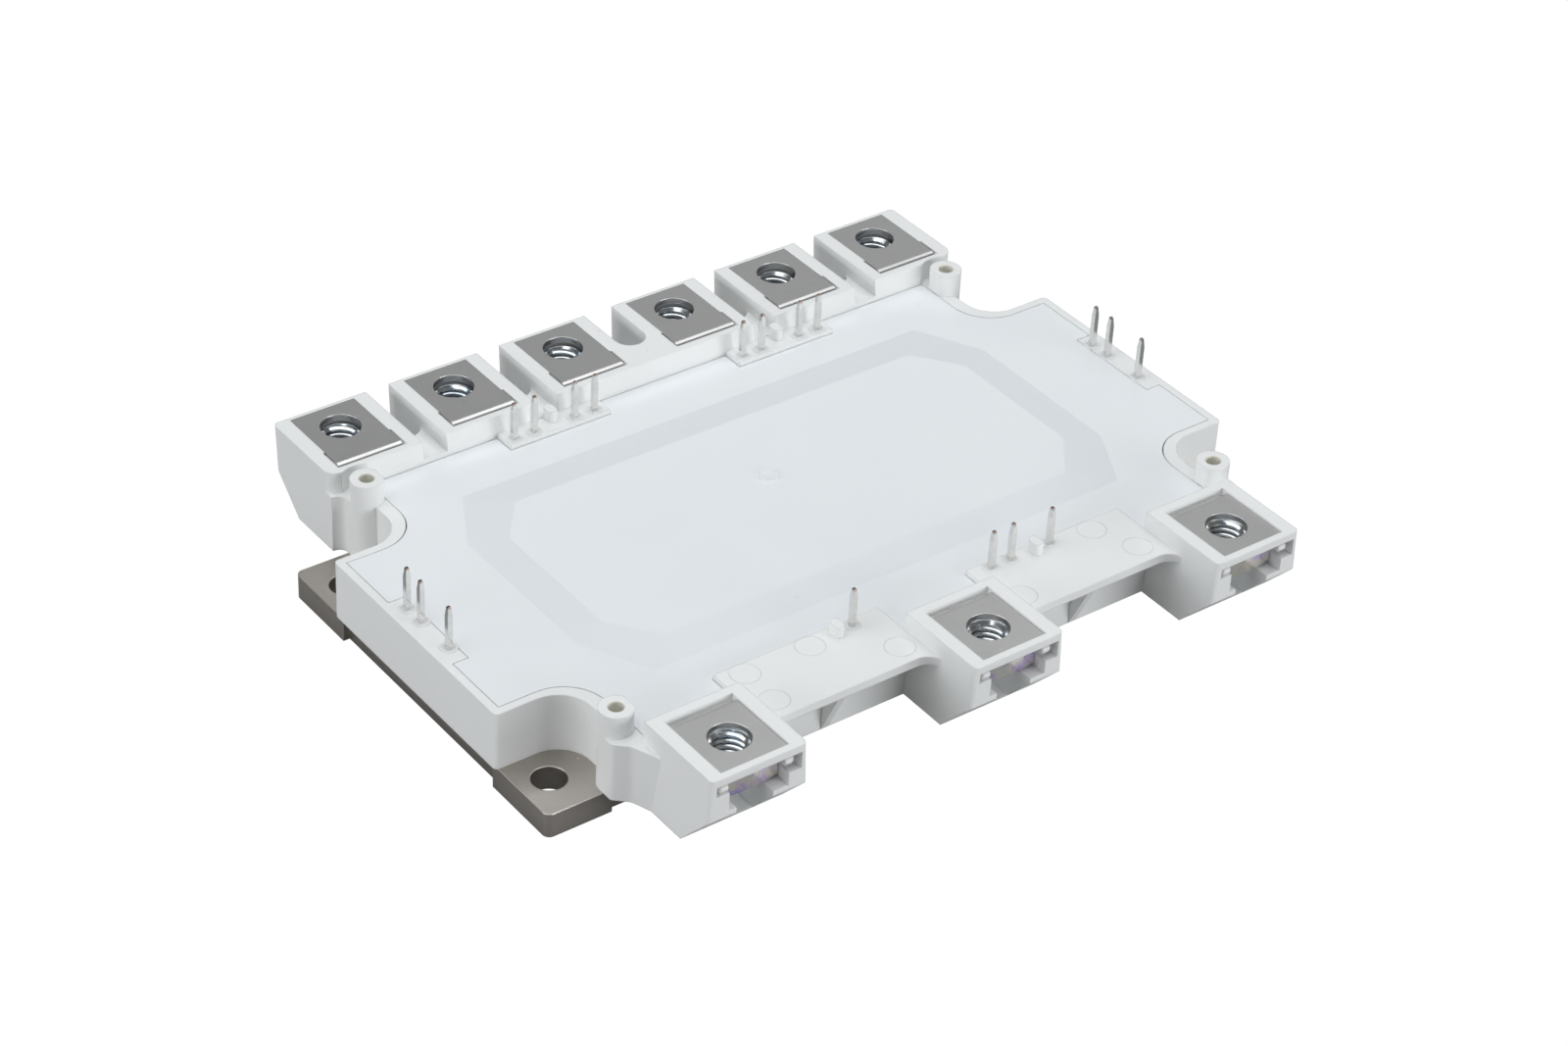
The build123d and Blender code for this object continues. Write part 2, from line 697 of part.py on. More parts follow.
def bond_wire(start, end):
    """Wire loop between two points on flat metal, drawn as a low arch of square wire."""
    (x0, y0, z0), (x1, y1, z1) = start, end
    span = math.hypot(x1 - x0, y1 - y0)
    turn = math.degrees(math.atan2(y1 - y0, x1 - x0))
    t = wire_size
    top = max(z0, z1) + wire_loop_height
    shoulder = span * wire_shoulder
    outline = [(-t, z0), (t, z0), (shoulder + t, top - t), (span - shoulder - t, top - t),
               (span - t, z1), (span + t, z1), (span - shoulder, top), (shoulder, top)]
    face = Plane.XZ.offset(-t / 2) * Polygon(*outline, align=None)
    return Pos(x0, y0, 0) * Rot(0, 0, turn) * extrude(face, amount=t, dir=(0, -1, 0))


def bond_wires(x):
    """Wires of one phase: igbt to diode to track, and gate wires to the control pads."""
    igbts, diodes = chip_places(x)
    top = chip_z + chip_thickness
    wires = []
    for (cx, igbt_y), (_, diode_y) in zip(igbts, diodes):
        high_side = cx < x
        for k in range(wires_per_chip):
            wx = cx + (k - (wires_per_chip - 1) / 2) * wire_spacing
            near_igbt = igbt_y - igbt_length / 4
            wires.append(bond_wire((wx, near_igbt, top), (wx, diode_y + diode_length / 4, top)))
            if high_side:
                wires.append(bond_wire((wx, diode_y - diode_length / 4, top),
                                       (wx, link_track_rear_y - 2 * wire_size, chip_z)))
            else:
                minus_y = low_track_rear_y + pad_length + 2 * track_gap + 2 * wire_size
                wires.append(bond_wire((wx, igbt_y + igbt_length / 4, top), (wx, minus_y, chip_z)))
    return wires


def pin_wires(places, inward):
    """Wires from the feet of control pins to the edge of the nearest substrate."""
    wires = []
    edge = copper_half_length - wire_size
    z = pin_foot_z + pin_size
    for x, y in places:
        if inward[0]:
            end_x = inward[0] * -(substrates_x[-1] + copper_half_width - 2 * wire_size)
            start_x = inward[0] * -(cavity_half_length - pin_foot_reach + 2 * wire_size)
            wires.append(bond_wire((start_x, y, z), (end_x, y, chip_z)))
            continue
        nearest = min(substrates_x, key=lambda s: abs(s - x))
        limit = copper_half_width - 2 * wire_size
        end_x = min(max(x, nearest - limit), nearest + limit)
        start_y = -inward[1] * (cavity_side_y - pin_foot_reach + 2 * wire_size)
        wires.append(bond_wire((x, start_y, z), (end_x, -inward[1] * edge, chip_z)))
    return wires


def thermistor():
    """Temperature sensor soldered near the corner of the middle substrate."""
    x = -copper_half_width + thermistor_length
    y = -copper_half_length + 2 * thermistor_width
    return slab(x - thermistor_length / 2, x + thermistor_length / 2, y - thermistor_width / 2,
                y + thermistor_width / 2, chip_z, chip_z + thermistor_height)


def main():
    os.makedirs("parts", exist_ok=True)
    nodes = {"base_plate": base_plate()}
    dc = [dc_terminal(i) for i in range(len(dc_holes_x))]
    ac = [ac_terminal(i) for i in range(len(ac_holes_x))]
    pins = {name: [control_pin(p, inward) for p in places] for name, places, inward in pin_groups()}
    moulded_in = dc + ac + [pin for group in pins.values() for pin in group]
    nodes["housing"] = cut_from(housing(), moulded_in)
    nodes["lid"] = lid()
    for number, bar in enumerate(dc, 1):
        nodes[f"dc_terminal_{number}"] = bar
    for number, bar in enumerate(ac, 1):
        nodes[f"ac_terminal_{number}"] = bar
    nodes["dc_nuts"] = Compound([nut(x, dc_hole_y, dc_nut_z) for x in dc_holes_x])
    nodes["ac_nuts"] = Compound([nut(x, -ac_hole_y, ac_nut_z) for x in ac_holes_x])
    for name, group in pins.items():
        nodes[name] = Compound(group)
    nodes["substrate_solder"] = Compound(substrate_slabs(base_thickness, backing_z, copper_margin))
    nodes["backing_copper"] = Compound(substrate_slabs(backing_z, ceramic_z, copper_margin))
    for letter, x, ceramic in zip("uvw", substrates_x, substrate_slabs(ceramic_z, track_z, 0.0)):
        igbts, diodes = chip_places(x)
        nodes[f"ceramic_substrate_{letter}"] = ceramic
        nodes[f"copper_tracks_{letter}"] = Compound(copper_tracks(x))
        nodes[f"igbt_chips_{letter}"] = Compound(chips(igbts, igbt_length))
        nodes[f"diode_chips_{letter}"] = Compound(chips(diodes, diode_length))
        nodes[f"bond_wires_{letter}"] = Compound(bond_wires(x))
    wires = [wire for _, places, inward in pin_groups() for wire in pin_wires(places, inward)]
    nodes["pin_bond_wires"] = Compound(wires)
    nodes["thermistor"] = thermistor()
    for name, shape in nodes.items():
        shape.label = name
        export_step(shape, f"parts/{name}.step")
    return nodes


main()
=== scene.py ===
# %% [markdown]
# # A three-phase power transistor module
# The real object is a flat power module: a nickel-plated metal base, a white moulded case with a
# lid, nine screw terminals with nuts caught under them, and eighteen slim pins for the control
# board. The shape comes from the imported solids. This lesson gives every part its finish, turns
# real nuts with threads, and adds the small marks that moulding leaves on the plastic.

# %% Load the frame
import bpy
import json
import math
import random
from mathutils import Matrix, Vector


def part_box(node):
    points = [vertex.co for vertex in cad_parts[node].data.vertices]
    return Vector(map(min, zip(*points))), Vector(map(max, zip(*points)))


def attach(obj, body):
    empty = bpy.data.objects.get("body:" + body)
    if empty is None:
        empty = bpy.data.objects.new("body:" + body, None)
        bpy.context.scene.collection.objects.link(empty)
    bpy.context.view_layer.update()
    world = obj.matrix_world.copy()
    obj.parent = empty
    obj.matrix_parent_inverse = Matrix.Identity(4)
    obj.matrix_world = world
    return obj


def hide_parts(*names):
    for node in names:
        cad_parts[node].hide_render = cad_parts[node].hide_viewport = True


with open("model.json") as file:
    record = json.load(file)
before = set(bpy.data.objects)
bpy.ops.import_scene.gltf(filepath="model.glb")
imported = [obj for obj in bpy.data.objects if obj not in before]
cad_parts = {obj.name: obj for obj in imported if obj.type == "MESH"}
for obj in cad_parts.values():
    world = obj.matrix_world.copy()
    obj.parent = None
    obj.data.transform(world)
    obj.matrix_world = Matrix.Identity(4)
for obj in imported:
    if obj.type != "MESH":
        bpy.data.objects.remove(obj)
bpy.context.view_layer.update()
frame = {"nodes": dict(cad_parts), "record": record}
solids = frame["nodes"]
MM = 0.001

# %% [markdown]
# ## The camera
# A product photograph like this one is taken with a long lens from the front left, a little
# above. The place and the turn below come from fitting a perspective camera to the holes, pins
# and corners of the module. Setting the whole matrix at once is simpler than aiming the camera
# with a constraint, because it also holds the slight roll.

# %% Camera
azimuth = math.radians(-38.31)
elevation = math.radians(35.40)
roll = math.radians(3.117)
back = Vector((math.sin(azimuth) * math.cos(elevation),
               -math.cos(azimuth) * math.cos(elevation), math.sin(elevation)))
level_right = Vector((math.cos(azimuth), math.sin(azimuth), 0.0))
level_up = back.cross(level_right)
camera_right = math.cos(roll) * level_right + math.sin(roll) * level_up
camera_up = -math.sin(roll) * level_right + math.cos(roll) * level_up

camera_data = bpy.data.cameras.new("product_camera")
camera_data.sensor_fit = "HORIZONTAL"
camera_data.sensor_width = 36.0
camera_data.lens = 87.28
camera_data.clip_start = 0.05
camera_data.clip_end = 20.0
camera = bpy.data.objects.new("product_camera", camera_data)
bpy.context.collection.objects.link(camera)
camera_place = Matrix((camera_right, camera_up, back)).transposed().to_4x4()
camera_place.translation = Vector((-301.79, -380.23, 352.66)) * MM
camera.matrix_world = camera_place
bpy.context.scene.camera = camera
print("camera distance in mm:", round(camera_place.translation.length / MM))

# %% [markdown]
# ## Floor and light
# The module stands on a seamless white sweep under one large softbox, with low ones on its
# left, front right and rear, in a dim even room. White plastic needs soft light: small lamps
# would give hard spots and black shadows that hide its shape. The room stays dim, so that the
# gaps between the blocks darken and the bright metal mirrors both light and dark. The sweep is
# overexposed for the camera, as it is in most product pictures, and a plain grey card for the
# light that it throws back. It lies a hair below the base, so that the two faces don't flicker.

# %% Floor
sweep_size = 6.0
sweep_gap = 0.05 * MM
card_grey = (0.30, 0.30, 0.30, 1.0)
glow_strength = 1.05

bpy.context.scene.view_settings.view_transform = "Standard"
bpy.ops.object.select_all(action="DESELECT")
bpy.ops.mesh.primitive_plane_add(size=sweep_size, location=(0.0, 0.0, -sweep_gap))
floor = bpy.context.object
floor.name = "white_sweep"
paper = bpy.data.materials.new("sweep_paper")
paper.use_nodes = True
tree = paper.node_tree
tree.nodes.clear()
card = tree.nodes.new("ShaderNodeBsdfDiffuse")
card.inputs["Color"].default_value = card_grey
glow = tree.nodes.new("ShaderNodeEmission")
glow.inputs["Color"].default_value = (1.0, 1.0, 1.0, 1.0)
glow.inputs["Strength"].default_value = glow_strength
sight = tree.nodes.new("ShaderNodeLightPath")
either = tree.nodes.new("ShaderNodeMixShader")
result = tree.nodes.new("ShaderNodeOutputMaterial")
tree.links.new(sight.outputs["Is Camera Ray"], either.inputs["Fac"])
tree.links.new(card.outputs[0], either.inputs[1])
tree.links.new(glow.outputs[0], either.inputs[2])
tree.links.new(either.outputs[0], result.inputs["Surface"])
floor.data.materials.append(paper)
print("floor:", floor.name)

# %% Room light and softboxes
room_strength = 0.15
room_tint = (0.95, 0.98, 1.0, 1.0)
lamp_tint = (0.965, 0.985, 1.0)

room = bpy.data.worlds.new("even_room")
room.use_nodes = True
room.node_tree.nodes["Background"].inputs["Color"].default_value = room_tint
room.node_tree.nodes["Background"].inputs["Strength"].default_value = room_strength
bpy.context.scene.world = room


def softbox(name, where, width, depth, power):
    """A rectangular soft light at `where` that faces the module; metres and watts."""
    lamp = bpy.data.lights.new(name, "AREA")
    lamp.shape = "RECTANGLE"
    lamp.size, lamp.size_y = width, depth
    lamp.energy = power
    lamp.color = lamp_tint
    stand = bpy.data.objects.new(name, lamp)
    bpy.context.collection.objects.link(stand)
    stand.location = where
    stand.rotation_mode = "QUATERNION"
    stand.rotation_quaternion = Vector(where).to_track_quat("Z", "Y")


softbox("top_softbox", (0.0, 0.10, 1.00), 1.6, 1.2, 10.0)
softbox("left_softbox", (-1.10, 0.10, 0.24), 1.0, 0.40, 5.2)
softbox("front_softbox", (0.52, -1.20, 0.23), 1.0, 0.40, 9.4)
softbox("rear_softbox", (0.75, 0.95, 0.62), 1.2, 0.35, 0.5)

# %% [markdown]
# ## A bench for node trees
# Every finish below is a small network of texture nodes. A helper that places a node, sets its
# fields and wires its inputs in one line keeps the recipes readable.

# %% Node bench
class Bench:
    """Places nodes in a tree. An input may be a plain value or another node's output socket."""

    def __init__(self, tree):
        self.tree = tree
        self.column = 0

    def add(self, kind, inputs=None, **fields):
        node = self.tree.nodes.new("ShaderNode" + kind)
        node.location = (self.column * 180, -(self.column % 3) * 160)
        self.column += 1
        for field, value in fields.items():
            setattr(node, field, value)
        for key, value in (inputs or {}).items():
            self.feed(node.inputs[key], value)
        return node

    def feed(self, socket, value):
        if isinstance(value, bpy.types.NodeSocket):
            self.tree.links.new(value, socket)
        elif isinstance(value, tuple) and len(value) == 3 and socket.type == "RGBA":
            socket.default_value = (*value, 1.0)
        else:
            socket.default_value = value

    def math(self, operation, first, second=0.0):
        node = self.add("Math", operation=operation)
        self.feed(node.inputs[0], first)
        self.feed(node.inputs[1], second)
        return node.outputs[0]

    def span(self, value, low, high, to_low=0.0, to_high=1.0):
        """Stretches the span low..high of a value to to_low..to_high."""
        node = self.add("MapRange", {"Value": value, "From Min": low, "From Max": high,
                                     "To Min": to_low, "To Max": to_high})
        return node.outputs[0]

    def blend(self, factor, first, second):
        """Mixes two colours."""
        node = self.add("Mix", data_type="RGBA")
        self.feed(node.inputs[0], factor)
        self.feed(node.inputs[6], first)
        self.feed(node.inputs[7], second)
        return node.outputs[2]


def effect(name, takes, gives):
    """An empty node group with float inputs {name: value} and outputs {name: kind}."""
    tree = bpy.data.node_groups.new(name, "ShaderNodeTree")
    for label, value in takes.items():
        socket = tree.interface.new_socket(name=label, in_out="INPUT",
                                           socket_type="NodeSocketFloat")
        socket.default_value = value
    for label, kind in gives.items():
        tree.interface.new_socket(name=label, in_out="OUTPUT", socket_type="NodeSocket" + kind)
    bench = Bench(tree)
    entry = tree.nodes.new("NodeGroupInput")
    leave = tree.nodes.new("NodeGroupOutput")
    return tree, bench, entry.outputs, leave.inputs


print("bench ready")

# %% [markdown]
# ## Soft edges
# No moulded or stamped part has a knife edge. The Bevel node looks at the surface nearby and
# gives the normal of a small round, so a sharp solid catches light along its edges. Where that
# normal differs from the true one there is an edge, and the difference is a mask for a painted
# highlight: the finishes lighten their colour along it.

# %% Effect: soft edge
soft_edge, bench, takes, gives = effect(
    "soft_edge", {"Radius": 0.25 * MM}, {"Normal": "Vector", "Edge": "Float"})
round_off = bench.add("Bevel", {"Radius": takes["Radius"]}, samples=6)
true_surface = bench.add("NewGeometry")
alike = bench.add("VectorMath", {0: round_off.outputs[0], 1: true_surface.outputs["Normal"]},
                  operation="DOT_PRODUCT")
bench.feed(gives["Normal"], round_off.outputs[0])
bench.feed(gives["Edge"], bench.span(alike.outputs["Value"], 0.995, 0.80))
print("effect:", soft_edge.name)

# %% [markdown]
# ## Moulded skin
# Glass-filled plastic flows into a steel mould and keeps a trace of it: broad, very faint clouds
# of shade where the melt moved, streaks of flow that polish the surface more or less, and a fine
# grain of fibre ends. Three noises of different size give them. The grain feeds the height for a
# bump that breaks up the reflections, and the flow varies the roughness.

# %% Effect: moulded skin
moulded_skin, bench, takes, gives = effect(
    "moulded_skin", {"Cloud Scale": 35.0, "Grain Scale": 3200.0},
    {"Cloud": "Float", "Grain": "Float", "Flow": "Float"})
where = bench.add("TexCoord").outputs["Object"]
cloud = bench.add("TexNoise", {"Vector": where, "Scale": takes["Cloud Scale"], "Detail": 3.0,
                               "Distortion": 0.6})
grain = bench.add("TexNoise", {"Vector": where, "Scale": takes["Grain Scale"], "Detail": 2.0})
flow = bench.add("TexNoise", {"Vector": where, "Scale": 120.0, "Detail": 3.0, "Distortion": 0.8})
bench.feed(gives["Cloud"], bench.span(cloud.outputs["Fac"], 0.30, 0.70))
bench.feed(gives["Grain"], grain.outputs["Fac"])
bench.feed(gives["Flow"], bench.span(flow.outputs["Fac"], 0.35, 0.65))
print("effect:", moulded_skin.name)

# %% [markdown]
# ## Specks
# A handled part carries a few dust grains and pinpoint marks. A Voronoi pattern makes one cell
# for each possible grain, and its random colour decides which few cells really hold one.

# %% Effect: specks
specks, bench, takes, gives = effect(
    "specks", {"Scale": 420.0, "Size": 0.10, "Share": 0.06}, {"Mask": "Float"})
where = bench.add("TexCoord").outputs["Object"]
cells = bench.add("TexVoronoi", {"Vector": where, "Scale": takes["Scale"]})
chance = bench.add("SeparateColor", {"Color": cells.outputs["Color"]})
chosen = bench.math("LESS_THAN", chance.outputs[0], takes["Share"])
inside = bench.math("LESS_THAN", cells.outputs["Distance"], takes["Size"])
bench.feed(gives["Mask"], bench.math("MULTIPLY", chosen, inside))
print("effect:", specks.name)

# %% [markdown]
# ## Plated metal
# The base and the terminals are copper under a satin coat of nickel. Rolling leaves fine lines
# along the sheet, and plating leaves soft blotches and tiny pits. Stretching one noise along
# the rolling direction makes the lines; the others stay as they are.

# %% Effect: plated metal
plated_metal, bench, takes, gives = effect(
    "plated_metal", {"Along X": 0.05, "Along Y": 1.0, "Line Scale": 2600.0, "Blotch Scale": 160.0},
    {"Lines": "Float", "Blotch": "Float", "Pits": "Float"})
where = bench.add("TexCoord").outputs["Object"]
ratio = bench.add("CombineXYZ", {"X": takes["Along X"], "Y": takes["Along Y"], "Z": 1.0})
drawn = bench.add("VectorMath", {0: where, 1: ratio.outputs[0]}, operation="MULTIPLY")
lines = bench.add("TexNoise", {"Vector": drawn.outputs[0], "Scale": takes["Line Scale"],
                               "Detail": 3.0})
blotch = bench.add("TexNoise", {"Vector": where, "Scale": takes["Blotch Scale"], "Detail": 5.0,
                                "Roughness": 0.62})
pits = bench.add("TexVoronoi", {"Vector": where, "Scale": 1500.0})
bench.feed(gives["Lines"], bench.span(lines.outputs["Fac"], 0.25, 0.75))
bench.feed(gives["Blotch"], bench.span(blotch.outputs["Fac"], 0.30, 0.70))
bench.feed(gives["Pits"], bench.span(pits.outputs["Distance"], 0.0, 0.22))
print("effect:", plated_metal.name)

# %% [markdown]
# ## White plastic
# The case and its lid are moulded in a glossy white polyester. The case is a trace warmer and
# rougher than the lid. Light soaks through the white plastic and lights the four pilot holes that
# take the screws of the control board cream; the case gets this as painted light, through a mask
# a short distance from the axis of a hole.
# The slopes round the raised field of the lid are rougher, because the mould was eroded there,
# and they get a painted shade, a darker colour; the tilt of the surface picks them out.

# %% Finish: white plastic
def start_finish(name):
    """A new material with an empty tree, its bench and its Principled shader."""
    finish = bpy.data.materials.new(name)
    finish.use_nodes = True
    finish.node_tree.nodes.clear()
    bench = Bench(finish.node_tree)
    shader = bench.add("BsdfPrincipled")
    out = bench.add("OutputMaterial", {"Surface": shader.outputs[0]})
    shader.location, out.location = (1600, 0), (1900, 0)
    return finish, bench, shader.inputs


def use(bench, group, **values):
    """Places an effect in a tree. Keyword names use _ for the space in an input's name."""
    node = bench.add("Group", node_tree=group)
    for key, value in values.items():
        bench.feed(node.inputs[key.replace("_", " ")], value)
    return node.outputs


def white_plastic(name, light, shade, roughness, round_radius):
    """Glossy white moulding. Returns the material, bench, shader inputs, colour and roughness."""
    finish, bench, shader = start_finish(name)
    skin = use(bench, moulded_skin)
    dust = use(bench, specks, Scale=300.0, Size=0.07, Share=0.05)
    edge = use(bench, soft_edge, Radius=round_radius)
    tone = bench.blend(skin["Cloud"], shade, light)
    # Painted highlight: the colour is lightened towards near white along every edge.
    highlit_tone = bench.blend(bench.math("MULTIPLY", edge["Edge"], 0.35), tone, (0.95, 0.955, 0.96))
    dusty = bench.blend(bench.math("MULTIPLY", dust["Mask"], 0.30), highlit_tone, (0.42, 0.41, 0.39))
    flow = bench.span(skin["Flow"], 0.0, 1.0, roughness - 0.02, roughness + 0.02)
    bench.feed(shader["Roughness"], flow)
    bump = bench.add("Bump", {"Strength": 0.10, "Distance": 0.02 * MM, "Height": skin["Grain"],
                              "Normal": edge["Normal"]})
    bench.feed(shader["Normal"], bump.outputs[0])
    shader["IOR"].default_value = 1.50
    bench.feed(shader["Base Color"], dusty)
    return finish, bench, shader, dusty, flow


boss_middle_y = -0.25 * MM
boss_half_y = 33.75 * MM
boss_x = 56.75 * MM
pilot_near, pilot_far = 1.27 * MM, 1.45 * MM
slope_steep, slope_flat = 0.90, 0.9995

case_plastic, bench, shader, case_colour, _ = white_plastic(
    "case_plastic", (0.868, 0.874, 0.868), (0.85, 0.857, 0.846), 0.33, 0.30 * MM)
here = bench.add("SeparateXYZ", {"Vector": bench.add("TexCoord").outputs["Object"]})
off_x = bench.math("SUBTRACT", bench.math("ABSOLUTE", here.outputs["X"]), boss_x)
off_y = bench.math("SUBTRACT", bench.math(
    "ABSOLUTE", bench.math("SUBTRACT", here.outputs["Y"], boss_middle_y)), boss_half_y)
from_axis = bench.math("SQRT", bench.math("ADD", bench.math("MULTIPLY", off_x, off_x),
                                          bench.math("MULTIPLY", off_y, off_y)))
in_hole = bench.span(from_axis, pilot_far, pilot_near)
# Painted light: a light cream inside the pilot holes stands in for light glowing through the
# plastic.
hole_glow = bench.blend(bench.math("MULTIPLY", in_hole, 0.60), case_colour, (0.93, 0.90, 0.78))
bench.feed(shader["Base Color"], hole_glow)

lid_plastic, bench, shader, lid_colour, lid_roughness = white_plastic(
    "lid_plastic", (0.865, 0.888, 0.905), (0.85, 0.875, 0.895), 0.22, 0.20 * MM)
facing = bench.add("SeparateXYZ", {"Vector": bench.add("NewGeometry").outputs["True Normal"]})
on_slope = bench.math("MULTIPLY", bench.math("LESS_THAN", facing.outputs["Z"], slope_flat),
                      bench.math("GREATER_THAN", facing.outputs["Z"], slope_steep))
# Painted shade: every slope of the field gets a darker colour than the flat top.
bench.feed(shader["Base Color"], bench.blend(bench.math("MULTIPLY", on_slope, 0.5), lid_colour,
                                             (0.71, 0.735, 0.76)))
bench.feed(shader["Roughness"], bench.math("ADD", lid_roughness,
                                           bench.math("MULTIPLY", on_slope, 0.10)))
print("white plastics:", case_plastic.name, lid_plastic.name)

# %% [markdown]
# ## Nickel plate
# The base is a thick plate of dull nickel, rubbed smoother along its edges, and every edge gets a
# painted highlight, a lighter colour. The terminals are stamped from clean, finely rolled sheet.
# Both use the same effects with their own values.

# %% Finish: nickel plate
def nickel(name, deep, bright, edge_highlight, roughness, line_bump, along, round_radius, blotch_scale):
    """Plated sheet metal, rolled along X where along is 'x', else along Y."""
    finish, bench, shader = start_finish(name)
    stretch_x, stretch_y = (0.05, 1.0) if along == "x" else (1.0, 0.05)
    plate = use(bench, plated_metal, Blotch_Scale=blotch_scale, Along_X=stretch_x,
                Along_Y=stretch_y)
    edge = use(bench, soft_edge, Radius=round_radius)
    dust = use(bench, specks, Scale=500.0, Size=0.10, Share=0.08)
    clouded = bench.blend(plate["Blotch"], deep, bright)
    lined = bench.blend(bench.math("MULTIPLY", plate["Lines"], 0.15), clouded, bright)
    pitted = bench.blend(plate["Pits"], deep, lined)
    # Painted highlight: the colour is lightened along every edge.
    highlit_edges = bench.blend(bench.math("MULTIPLY", edge["Edge"], 0.85), pitted, edge_highlight)
    marked = bench.blend(bench.math("MULTIPLY", dust["Mask"], 0.5), highlit_edges, (0.80, 0.79, 0.77))
    bench.feed(shader["Base Color"], marked)
    shader["Metallic"].default_value = 1.0
    rough = bench.span(plate["Blotch"], 0.0, 1.0, roughness + 0.03, roughness - 0.03)
    bench.feed(shader["Roughness"], bench.math("SUBTRACT", rough,
                                               bench.math("MULTIPLY", edge["Edge"], 0.08)))
    bump = bench.add("Bump", {"Strength": line_bump, "Distance": 0.01 * MM,
                              "Height": plate["Lines"], "Normal": edge["Normal"]})
    bench.feed(shader["Normal"], bump.outputs[0])
    return finish


base_nickel = nickel("base_nickel", (0.41, 0.38, 0.35), (0.49, 0.455, 0.42), (0.74, 0.70, 0.66),
                     0.42, 0.25, "x", 0.30 * MM, 90.0)
terminal_nickel = nickel("terminal_nickel", (0.60, 0.59, 0.58), (0.655, 0.645, 0.635),
                         (0.92, 0.91, 0.90), 0.30, 0.08, "y", 0.14 * MM, 160.0)
print("nickel:", base_nickel.name, terminal_nickel.name)

# %% [markdown]
# ## Zinc, tin and the other small metals
# The nuts are bright zinc with a blue cast. On their flat sides the passivation film is
# thicker and shines in violet, straw and green clouds, so the flats get the same recipe with
# other tints. The pins are tinned, but their tips are cut after plating and show copper. Height
# above the base tells the shader where a tip begins.

# %% Finish: zinc nut
def zinc(name, tints, blotch_scale):
    """Bright zinc under a film whose colour runs through `tints`, evenly spaced."""
    finish, bench, shader = start_finish(name)
    plate = use(bench, plated_metal, Along_X=1.0, Along_Y=1.0, Line_Scale=1400.0,
                Blotch_Scale=blotch_scale)
    edge = use(bench, soft_edge, Radius=0.10 * MM)
    film = bench.add("ValToRGB", {"Fac": plate["Blotch"]})
    film.color_ramp.elements[0].color = (*tints[0], 1.0)
    film.color_ramp.elements[1].color = (*tints[-1], 1.0)
    for step, tint in enumerate(tints[1:-1], 1):
        film.color_ramp.elements.new(step / (len(tints) - 1)).color = (*tint, 1.0)
    # Painted highlight: the film colour is lightened towards bright silver along the edges.
    highlit_edges = bench.blend(bench.math("MULTIPLY", edge["Edge"], 0.5), film.outputs[0],
                       (0.84, 0.86, 0.88))
    bench.feed(shader["Base Color"], highlit_edges)
    shader["Metallic"].default_value = 1.0
    bench.feed(shader["Roughness"], bench.span(plate["Lines"], 0.0, 1.0, 0.11, 0.19))
    bump = bench.add("Bump", {"Strength": 0.03, "Distance": 0.01 * MM, "Height": plate["Lines"],
                              "Normal": edge["Normal"]})
    bench.feed(shader["Normal"], bump.outputs[0])
    return finish


nut_zinc = zinc("nut_zinc", ((0.42, 0.54, 0.64), (0.62, 0.68, 0.74), (0.72, 0.72, 0.71),
                             (0.60, 0.68, 0.74)), 420.0)
nut_film = zinc("nut_film", ((0.50, 0.52, 1.0), (0.84, 0.70, 1.0), (1.0, 0.96, 0.84),
                             (0.90, 0.95, 0.90), (0.88, 0.68, 1.0)), 260.0)
print("finish:", nut_zinc.name, nut_film.name)

# %% Finish: tinned pin
tip_low, tip_high = 21.45 * MM, 21.75 * MM
pin_tin, bench, shader = start_finish("pin_tin")
plate = use(bench, plated_metal, Along_X=1.0, Along_Y=1.0, Line_Scale=2200.0, Blotch_Scale=700.0)
edge = use(bench, soft_edge, Radius=0.08 * MM)
height = bench.add("SeparateXYZ", {"Vector": bench.add("TexCoord").outputs["Object"]}).outputs["Z"]
wavy = bench.math("ADD", height, bench.math("MULTIPLY", plate["Blotch"], 0.12 * MM))
tip = bench.span(wavy, tip_low, tip_high)
tin = bench.blend(plate["Blotch"], (0.74, 0.735, 0.72), (0.86, 0.855, 0.84))
cut = bench.blend(bench.math("MULTIPLY", tip, 0.80), tin, (0.34, 0.19, 0.14))
# Painted highlight: the colour is lightened along the edges.
bench.feed(shader["Base Color"], bench.blend(bench.math("MULTIPLY", edge["Edge"], 0.4), cut,
                                             (0.90, 0.89, 0.87)))
shader["Metallic"].default_value = 1.0
bench.feed(shader["Roughness"], bench.span(plate["Lines"], 0.0, 1.0, 0.12, 0.20))
bump = bench.add("Bump", {"Strength": 0.08, "Distance": 0.01 * MM, "Height": plate["Lines"],
                          "Normal": edge["Normal"]})
bench.feed(shader["Normal"], bump.outputs[0])
print("finish:", pin_tin.name)

# %% [markdown]
# ## The circuit under the lid
# The copper tracks, ceramic plates, chips and bond wires are hidden by the lid, but anyone who
# opens the model sees them. Each gets the finish of the real material: brushed copper with
# brown clouds, matt white ceramic, dull solder, dark silicon with a metallised grid, and drawn
# aluminium wire.

# %% Finish: plain helper for the inner metals
def inner_metal(name, deep, bright, low, high, bump_strength, line_scale, blotch_scale):
    """Bare metal of the hidden circuit: clouded colour and a roughness between low and high."""
    finish, bench, shader = start_finish(name)
    plate = use(bench, plated_metal, Line_Scale=line_scale, Blotch_Scale=blotch_scale)
    edge = use(bench, soft_edge, Radius=0.06 * MM)
    tone = bench.blend(plate["Blotch"], deep, bright)
    # Painted highlight: the colour is lightened towards the bright tone along the edges.
    bench.feed(shader["Base Color"], bench.blend(bench.math("MULTIPLY", edge["Edge"], 0.4), tone,
                                                 bright))
    shader["Metallic"].default_value = 1.0
    bench.feed(shader["Roughness"], bench.span(plate["Lines"], 0.0, 1.0, low, high))
    bump = bench.add("Bump", {"Strength": bump_strength, "Distance": 0.01 * MM,
                              "Height": plate["Lines"], "Normal": edge["Normal"]})
    bench.feed(shader["Normal"], bump.outputs[0])
    return finish


